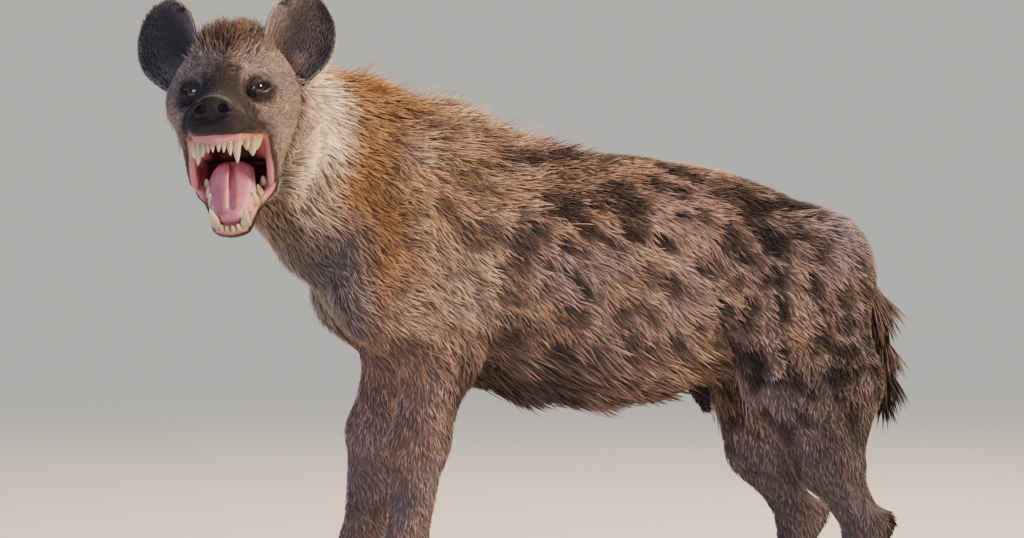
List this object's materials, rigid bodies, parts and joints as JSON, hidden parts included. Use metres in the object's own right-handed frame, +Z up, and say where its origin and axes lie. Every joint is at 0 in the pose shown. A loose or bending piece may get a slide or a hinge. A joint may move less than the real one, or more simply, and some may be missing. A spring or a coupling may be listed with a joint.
{
  "type": "spotted hyena",
  "caption": "Life-size spotted hyena, standing side on with its head turned to its left and its mouth wide open, on four flat paw soles.",
  "frame": {"origin": "on the floor, under the middle of the animal's bounding box", "axes": "+X runs from the head end to the tail, -Y is the animal's left side, +Z is up"},
  "size_m": [1.098, 0.492, 0.9507],
  "materials": {
    "coat": "short tawny fur with dark brown spots",
    "face": "short grey-brown fur",
    "dark_fur": "dark brown fur",
    "nose_skin": "damp black skin",
    "eye": "wet and glossy",
    "tongue": "wet pink"
  },
  "bodies": {
    "root": {"head": "face", "lower_jaw": "face", "nose": "nose_skin", "tongue": "tongue", "ear_left": "face", "ear_right": "face", "eye_left": "eye", "eye_right": "eye", "neck": "coat", "chest": "coat", "belly": "coat", "rump": "coat", "tail": "dark_fur", "foreleg_left": "coat", "foreleg_right": "coat", "hindleg_left": "coat", "hindleg_right": "coat", "paw_fore_left": "dark_fur", "paw_fore_right": "dark_fur", "paw_hind_left": "dark_fur", "paw_hind_right": "dark_fur"}
  },
  "joints": []
}
